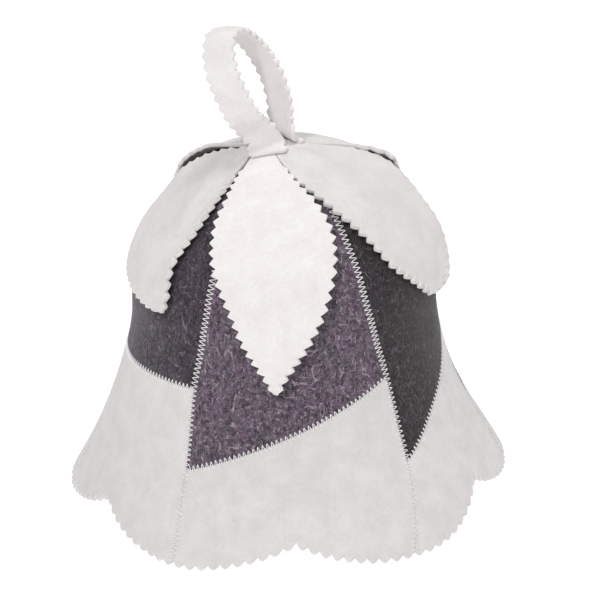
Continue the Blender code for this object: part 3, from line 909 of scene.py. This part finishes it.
def pinked_edge(petal, side, share):
    """Smooth edge of a petal and the step from it to the pinked one, in angle and length."""
    along, angles, ups, radii = petal_edge(petal, side)
    free = np.interp(petal[side + "_free"] * MM, ups, along)
    teeth = round(free / PINK_PITCH)
    tooth_rows = teeth * POINTS_PER_TOOTH / petal_rows(petal)
    at = np.interp(share, (0.0, tooth_rows, 1.0), (0.0, free, along[-1]))
    angle, up, radius = (np.interp(at, along, line) for line in (angles, ups, radii))
    ahead, behind = at + EDGE_STEP, at - EDGE_STEP
    turn = np.radians(np.interp(ahead, along, angles) - np.interp(behind, along, angles)) * radius
    rise = np.interp(ahead, along, ups) - np.interp(behind, along, ups)
    size = np.maximum(np.hypot(turn, rise), 1e-9)
    fade = mix(SMALLEST_TOOTH, 1.0, smoothstep(free, free - TOP_FADE, at))
    fade = np.where(at < free, fade * smoothstep(0.0, TIP_FADE, at), 0.0)
    push = TOOTH_DEPTH * tooth(at / free * teeth, PETAL_POINTED) * fade
    push = -push if side == "left" else push
    return angle, up, np.degrees(push * rise / size / radius), -push * turn / size


# %% Lean of the teeth
# Where the grid's rows cross the edge at a slant, a tooth square to the edge would fold over
# the next row. It is leant towards the rows, and made longer to keep its depth.
TOOTH_LEAN = 0.7
TOOTH_GROWTH = 1.35


def lean_teeth(turn, rise, row_turn, row_rise, radius):
    """Step to the pinked edge, leant towards the grid's rows."""
    depth = np.maximum(np.hypot(np.radians(turn) * radius, rise), 1e-9)
    row = np.maximum(np.hypot(np.radians(row_turn) * radius, row_rise), 1e-6)
    dot = np.radians(turn) * np.radians(row_turn) * radius**2 + rise * row_rise
    kept = np.maximum(mix(1.0, dot / (depth * row), TOOTH_LEAN), 0.1)
    grow = np.minimum(1.0 / kept, TOOTH_GROWTH)
    leant = [mix(a, b * depth / row, TOOTH_LEAN) for a, b in ((turn, row_turn), (rise, row_rise))]
    return leant[0] * grow, leant[1] * grow


# %% Creases and lift of a petal
CREASES = table("inside reach depth", (10.0, 6.0, -1.3), (23.0, 8.0, 1.5))
CREASE_STRENGTH = {"left": 1.5, "right": 0.8}
CREASE_START, CREASE_END = (195 * MM, 225 * MM), (280 * MM, 262 * MM)
LOOSE_START, LOOSE_END = 25 * MM, -20 * MM
UPPER_PART = (212 * MM, 230 * MM)
CURL_WIDTH = 45 * MM
WAVE_TURN_DEG, WAVE_SHARE = 40.0, 0.6


def petal_creases(petal, from_left, width, length):
    """Soft valley and ridge beside the side petals' front edges, where they were pressed."""
    if petal["name"] not in CREASE_STRENGTH:
        return 0.0
    inside = (from_left if petal["name"] == "right" else width - from_left) / MM
    creases = sum(
        row["depth"] * np.exp(-(((inside - row["inside"]) / row["reach"]) ** 2)) for row in CREASES
    )
    share = smoothstep(*CREASE_START, length) * smoothstep(*CREASE_END, length)
    return creases * share * MM * CREASE_STRENGTH[petal["name"]]


def petal_lift(petal, across, v, width, angle, length):
    """Height of a petal's inner face over the crown: seated at the top, loose lower down."""
    side = 2.0 * across - 1.0
    loose = np.where(side < 0.0, petal["left_loose"], petal["right_loose"]) * MM
    free_share = smoothstep(loose + LOOSE_START, loose + LOOSE_END, length)
    upper = smoothstep(*UPPER_PART, length)
    free_share = free_share * mix(petal["lower_share"], 1.0, upper)
    curl = np.abs(side) ** petal["curl"] * smoothstep(0.0, CURL_WIDTH, width)
    edge_lift = np.where(side < 0.0, petal["left_lift"], petal["right_lift"]) * curl * MM
    edge_lift = edge_lift + petal["tilt"] * MM * 0.5 * (1.0 + side)
    tip_share = np.clip(1.0 - 2.0 * v, 0.0, 1.0) ** 2
    lift = PETAL_SEAT + edge_lift * free_share + petal["tip_lift"] * MM * tip_share
    waves = soft_waves(angle + WAVE_TURN_DEG, length) * WAVE_SHARE
    return lift + waves + petal_creases(petal, across * width, width, length)


# %% Petals
TOOTH_REACH, TIP_CUT = 7 * MM, 0.2 * MM
EDGE_SLOPE = 0.8


def lay_petal(petal):
    def lay(u, v):
        across = crowded(u, ROW_CROWDING)
        left, left_up, left_turn, left_rise = pinked_edge(petal, "left", v)
        right, right_up, right_turn, right_rise = pinked_edge(petal, "right", v)
        radius = PROFILE.at(mix(left_up, right_up, across))[..., 0] + FELT
        row_turn, row_rise = right - left, right_up - left_up
        width = np.hypot(np.radians(row_turn) * radius, row_rise)
        left_turn, left_rise = lean_teeth(left_turn, left_rise, -row_turn, -row_rise, radius)
        right_turn, right_rise = lean_teeth(right_turn, right_rise, row_turn, row_rise, radius)
        reach = np.minimum(TOOTH_REACH, 0.5 * width)
        at_left = smoothstep(1.0, 0.0, across * width / reach)
        at_right = smoothstep(1.0, 0.0, (1.0 - across) * width / reach)
        angle = mix(left, right, across) + left_turn * at_left + right_turn * at_right
        length = mix(left_up, right_up, across) + left_rise * at_left + right_rise * at_right
        from_tip = length - petal["rows"][0]["left_length"] * MM + TIP_CUT
        from_edge = np.minimum(across, 1.0 - across) * width * EDGE_SLOPE
        from_cut = np.minimum(from_edge, from_tip)
        lift = petal_lift(petal, across, v, width, angle, length)
        return on_body(angle, length, lift + 0.5 * FELT), np.maximum(from_cut, 0.0)

    return lay


# Every petal but the front one takes a darker copy of the white felt, with its painted shade.
for petal in PETALS:
    felt_sheet(
        "petal_" + petal["name"], PETAL_COLUMNS, petal_rows(petal), lay_petal(petal),
        WHITE_FELT if petal["name"] == "front" else SIDE_PETAL_PAINTED_SHADE_FELT,
    )

# %% [markdown]
# ## Hanging loop
# A pinked strap lies on the top, rises, bends over and comes back beside its first end. A
# curve object with a flat bevel could sweep it, but then its teeth and its twist are hard
# to steer. So its middle line is a smooth curve through short tables, its width direction
# turns a little on the way, and the blank is laid along both.

# %% Tables of the loop
STRAP_WIDTH = 20.8 * MM
STRAP_TOOTH_DEPTH = 2.6 * MM
LOOP_TURN_DEG = 50.0
LOOP_LEAN_DEG = 18.0
LOOP_FOOT = (2 * MM, -2 * MM)
LOOP_FOOT_GAP = 0.4 * MM
LOOP_ROWS = table(
    "across up twist",
    (-11.5, 6.5, 24),
    (-18.6, 19, 18),
    (-21.6, 36, 13),
    (-21.8, 51, 9),
    (-18, 64, 6),
    (-10, 74, 4),
    (-1, 76, 4),
    (7.5, 70.5, 5),
    (14.5, 61, 7),
    (19.5, 47, 9),
    (20.5, 32, 11),
    (17, 16, 10),
    (11.5, 6, 6),
)
FRONT_FOOT_ROWS = table(
    "x y above side_deg",
    (-0.8, -21.5, 0, 7),
    (-1.6, -17.5, 0, 4),
    (-2.8, -12.5, 1.2, -4),
)
BACK_FOOT_ROWS = table(
    "x y above side_deg",
    (8.2, 3.8, 0.8, -46),
    (11.4, 7, 0, -46),
    (14.2, 9.8, 0, -46),
)
print("highest point over the foot, mm:", max(row["up"] for row in LOOP_ROWS))


# %% Height of the top
def top_height(x, y):
    """Height of the petals' upper face near the top of the hat."""
    reach = np.maximum(np.hypot(x - SHIFT.points[-1, 1], y), PROFILE.points[-1, 0])
    length = np.interp(reach, PROFILE.points[::-1, 0], PROFILE.lengths[::-1])
    rise = PROFILE.direction(length)[..., 0]
    height = np.interp(reach, PROFILE.points[::-1, 0], PROFILE.points[::-1, 1])
    return height + (PETAL_SEAT + FELT) / np.maximum(-rise, LEAST_RISE)


turn, lean = math.radians(LOOP_TURN_DEG), math.radians(LOOP_LEAN_DEG)
ACROSS_AXIS = np.array([math.cos(turn), math.sin(turn), 0.0])
UP_AXIS = np.array([-math.sin(lean), 0.0, math.cos(lean)])
WIDTH_AXIS = np.cross(ACROSS_AXIS, UP_AXIS)
WIDTH_AXIS /= np.linalg.norm(WIDTH_AXIS)
FOOT = np.array([*LOOP_FOOT, float(top_height(*LOOP_FOOT)) + LOOP_FOOT_GAP])
print("foot of the loop, mm:", (FOOT / MM).round(1))


# %% Path of the strap
def foot_path(rows):
    """Middle line and width direction of a strap end that lies on the top."""
    places, sides = [], []
    for row in rows:
        x, y, side = row["x"] * MM, row["y"] * MM, math.radians(row["side_deg"])
        places.append((x, y, float(top_height(x, y)) + 0.5 * FELT + row["above"] * MM))
        sides.append((math.cos(side), math.sin(side), 0.0))
    return places, sides


def loop_path(rows):
    """Middle line and width direction of the standing part of the strap."""
    plane = np.array([(row["across"] * MM, row["up"] * MM) for row in rows])
    places = FOOT + plane[:, :1] * ACROSS_AXIS + plane[:, 1:] * UP_AXIS
    runs = np.gradient(places, axis=0)
    runs /= np.linalg.norm(runs, axis=1, keepdims=True)
    twist = np.radians([[row["twist"]] for row in rows])
    sides = WIDTH_AXIS * np.cos(twist) + np.cross(runs, WIDTH_AXIS) * np.sin(twist)
    return list(places), list(sides)


parts = foot_path(FRONT_FOOT_ROWS), loop_path(LOOP_ROWS), foot_path(BACK_FOOT_ROWS)
LOOP_PATH = SmoothCurve([place for places, _ in parts for place in places])
LOOP_SIDES = np.array([side for _, sides in parts for side in sides])
LOOP_STATIONS = LOOP_PATH.lengths[::SAMPLES_PER_SPAN]
LOOP_TEETH = round(LOOP_PATH.length / PINK_PITCH)
print("length of the strap, mm:", round(LOOP_PATH.length / MM, 1), "teeth:", LOOP_TEETH)

# %% Strap
STRAP_COLUMNS = 16
CUP_DEPTH, STRAP_POINTED = 0.9 * MM, 0.7
FRONT_LYING = (14 * MM, 7 * MM)
BACK_LYING = (10 * MM, 5 * MM)


def lay_strap(u, v):
    length = v * LOOP_PATH.length
    path, forward = LOOP_PATH.at(length), LOOP_PATH.direction(length)
    side = np.stack([np.interp(length, LOOP_STATIONS, axis) for axis in LOOP_SIDES.T], -1)
    side -= forward * (side * forward).sum(-1, keepdims=True)
    side /= np.linalg.norm(side, axis=1, keepdims=True)
    outward = np.cross(side, forward)
    half = 0.5 * STRAP_WIDTH + STRAP_TOOTH_DEPTH * tooth(v * LOOP_TEETH, STRAP_POINTED)
    across = (2.0 * crowded(u, ROW_CROWDING) - 1.0) * half
    cup = -CUP_DEPTH * (across / half) ** 2
    points = path + side * across[:, None] + outward * cup[:, None]
    seat = top_height(points[:, 0], points[:, 1]) + 0.5 * FELT
    from_end = np.minimum(length, LOOP_PATH.length - length)
    front, back = smoothstep(*FRONT_LYING, length), smoothstep(*BACK_LYING, from_end)
    points[:, 2] = np.maximum(mix(points[:, 2], seat, np.where(v < 0.5, front, back)), seat)
    return points, np.minimum(EDGE_SLOPE * (half - np.abs(across)), from_end)


# The strap takes its own copy of the white felt, with a little painted shade.
felt_sheet(
    "hanging_loop", STRAP_COLUMNS, LOOP_TEETH * POINTS_PER_TOOTH, lay_strap,
    STRAP_PAINTED_SHADE_FELT,
)

# %% [markdown]
# ## Zigzag stitches
# The gores are joined by a machine zigzag that crosses the butted edges about every 1.5 mm.
# It could be a pattern in the felt's finish, but thread stands up from felt and throws
# small shadows. So each seam gets one thin round thread: every leg rises out of the felt,
# lies across the seam and dives in again. A bevelled curve makes it, turned into a mesh.

# %% Path of a zigzag
STITCH_WIDTH = 5 * MM
STITCH_PITCH = 3.1 * MM
LINE_SAMPLES, NUDGE = 2000, 1e-4
LEG_ROWS = table("step arch", (0.0, -0.30), (0.15, 0.16), (0.5, 0.30), (0.85, 0.16))


def zigzag_spine(line):
    """Middle line of the thread: line(share) gives angle and length up the body."""
    shares = np.linspace(0.0, 1.0, LINE_SAMPLES)
    points = on_body(*line(shares), 0.0)
    along = np.concatenate([[0.0], np.cumsum(np.linalg.norm(np.diff(points, axis=0), axis=1))])
    legs = int(along[-1] / (0.5 * STITCH_PITCH))
    step = np.array([row["step"] for row in LEG_ROWS])
    place = (np.arange(legs)[:, None] + step).ravel() / legs * along[-1]
    swing = np.repeat(np.arange(legs) % 2 * 2.0 - 1.0, len(step))
    swing = swing * (1.0 - 2.0 * np.tile(step, legs))
    share = np.interp(place, along, shares)
    ahead, behind = (line(np.clip(share + nudge, 0.0, 1.0)) for nudge in (NUDGE, -NUDGE))
    angle, up = line(share)
    radius = PROFILE.at(up)[:, 0]
    turn, rise = np.radians(ahead[0] - behind[0]) * radius, ahead[1] - behind[1]
    size = np.maximum(np.hypot(turn, rise), 1e-12)
    out = swing * 0.5 * STITCH_WIDTH
    angle = angle + np.degrees(out * rise / size / radius)
    up = up - out * turn / size
    arch = np.tile([row["arch"] * MM for row in LEG_ROWS], legs)
    return on_body(angle, up, felt_face(angle, up) + arch)


print("legs in each 10 mm of seam:", round(10 * MM / (0.5 * STITCH_PITCH), 1))

# %% Thread along a path
THREAD_THICKNESS = 0.62 * MM


def stitch(name, line):
    """Round thread that crosses a line in a zigzag."""
    spine = zigzag_spine(line)
    curve = bpy.data.curves.new(name, "CURVE")
    curve.dimensions = "3D"
    curve.bevel_depth = 0.5 * THREAD_THICKNESS
    curve.bevel_resolution = 1
    curve.use_fill_caps = True
    spline = curve.splines.new("POLY")
    spline.points.add(len(spine) - 1)
    spline.points.foreach_set("co", np.column_stack([spine, np.ones(len(spine))]).ravel())
    thread = bpy.data.objects.new(name, curve)
    bpy.context.scene.collection.objects.link(thread)
    bpy.ops.object.select_all(action="DESELECT")
    bpy.context.view_layer.objects.active = thread
    thread.select_set(True)
    bpy.ops.object.convert(target="MESH")
    thread = bpy.context.object
    bpy.ops.object.shade_smooth()
    thread.data.materials.clear()
    thread.data.materials.append(THREAD)
    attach(thread, "root")
    print(name, "legs", len(spine) // len(LEG_ROWS), "faces", len(thread.data.polygons))


# %% Seams and borders
SEAM_START = TOOTH_DEPTH + 1 * MM
SEAM_END = PROFILE.length - 12 * MM
BORDER_START, BORDER_END = 0.02, 0.98


def seam_line(number):
    def line(share):
        length = mix(SEAM_START, SEAM_END, share)
        return seam_angle(number, length), length

    return line


def border_line(number, gore):
    def line(share):
        across = mix(BORDER_START, BORDER_END, share)
        length = border_length(gore, across)
        return mix(seam_angle(number, length), seam_angle(number + 1, length), across), length

    return line


for number, gore in enumerate(GORES):
    stitch("seam_stitches_" + gore["name"], seam_line(number))
    stitch("border_stitches_" + gore["name"], border_line(number, gore))

# %% [markdown]
# ## How much of each blank is felt
# For every sheet, the share of its blank's width times length that the laid felt covers is
# printed. The sizes are measured along the laid felt.

for name, (sheet, cut) in SHEETS.items():
    kind, _, piece = name.partition("_")
    piece = piece.replace("gore_", "")
    print(name, "area share", round(cut["area"] / cut["flat"][0] / cut["flat"][1], 2))

# %% [markdown]
# ## Floor and light
# A plain pale floor, a small key lamp from the left, two large soft lamps from the right
# and from above, and a white sky. An environment picture could light it too, but few lamps
# are easier to read. The floor glows a little, so that no grey edge shows round the hat.


# %% Floor
def studio_floor():
    bpy.ops.object.select_all(action="DESELECT")
    bpy.ops.mesh.primitive_plane_add(size=8.0, location=(0.0, 0.0, 0.0))
    floor = bpy.context.object
    floor.name = "studio_floor"
    paper = {"Base Color": linear("#A0A0A0"), "Roughness": 0.9}
    glow = {"Emission Color": linear("#FFFFFF"), "Emission Strength": 0.85}
    floor.data.materials.append(new_material("white_paper", paper | glow)[0])
    floor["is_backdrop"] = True


studio_floor()

# %% Lamps and sky
LAMPS = table(
    "name place aim size watts",
    ("key", (-0.7, -1.53, 1.75), (0.0, 0.0, 0.15), 0.18, 20.5),
    ("side", (2.0, 0.3, 0.8), (0.0, 0.0, 0.15), 0.8, 2.0),
    ("top", (0.5, 0.3, 2.0), (0.0, 0.0, 0.2), 0.7, 13.0),
)
SKY_STRENGTH = 0.42

for row in LAMPS:
    light = bpy.data.lights.new(row["name"], "AREA")
    light.shape = "SQUARE"
    light.size = row["size"]
    light.energy = row["watts"]
    lamp = bpy.data.objects.new(row["name"], light)
    bpy.context.scene.collection.objects.link(lamp)
    place, aim = Vector(row["place"]), Vector(row["aim"])
    lamp.location = place
    lamp.rotation_euler = (aim - place).to_track_quat("-Z", "Y").to_euler()

world = bpy.data.worlds.new("studio")
bpy.context.scene.world = world
world.use_nodes = True
sky = world.node_tree.nodes["Background"]
sky.inputs["Color"].default_value = (1.0, 1.0, 1.0, 1.0)
sky.inputs["Strength"].default_value = SKY_STRENGTH
bpy.context.scene.view_settings.view_transform = "Standard"
print("lamps:", [row["name"] for row in LAMPS])

# %% [markdown]
# ## Camera
# The camera stands 1.6 m away and 22 degrees above level, and is turned by 2.7 degrees in
# the picture. Its lens is worked out from how many picture points one metre covers at the
# hat, and a small shift brings the hat's middle to its place in the picture.

# %% Camera
PICTURE = 600.0
POINTS_PER_M = 1544.0
HAT_MIDDLE = (276.1, 272.9)
SENSOR = 36.0
CAMERA_AIM = Vector((0.0, 0.0, 0.14))
CAMERA_AWAY, CAMERA_RISE_DEG, CAMERA_ROLL_DEG = 1.6, 22.0, 2.7

rise = math.radians(CAMERA_RISE_DEG)
camera = bpy.data.objects.new("camera", bpy.data.cameras.new("camera"))
bpy.context.scene.collection.objects.link(camera)
camera.location = CAMERA_AIM + Vector((0.0, -math.cos(rise), math.sin(rise))) * CAMERA_AWAY
looking = (CAMERA_AIM - camera.location).to_track_quat("-Z", "Y").to_matrix().to_4x4()
roll = Matrix.Rotation(math.radians(-CAMERA_ROLL_DEG), 4, "Z")
camera.rotation_euler = (looking @ roll).to_euler()
camera.data.sensor_width = SENSOR
camera.data.lens = SENSOR * POINTS_PER_M * CAMERA_AWAY / PICTURE
camera.data.shift_x = (0.5 * PICTURE - HAT_MIDDLE[0]) / PICTURE
camera.data.shift_y = -(0.5 * PICTURE - HAT_MIDDLE[1]) / PICTURE
bpy.context.scene.camera = camera
print("lens, mm:", round(camera.data.lens, 1))

# %% Sizes and finish
visual_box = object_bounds()
cad, visual = ([list(corner) for corner in box] for box in (cad_box, visual_box))
for name, box in (("cad", cad), ("visual", visual)):
    print(name, "box, mm:", [[round(value / MM, 1) for value in corner] for corner in box])
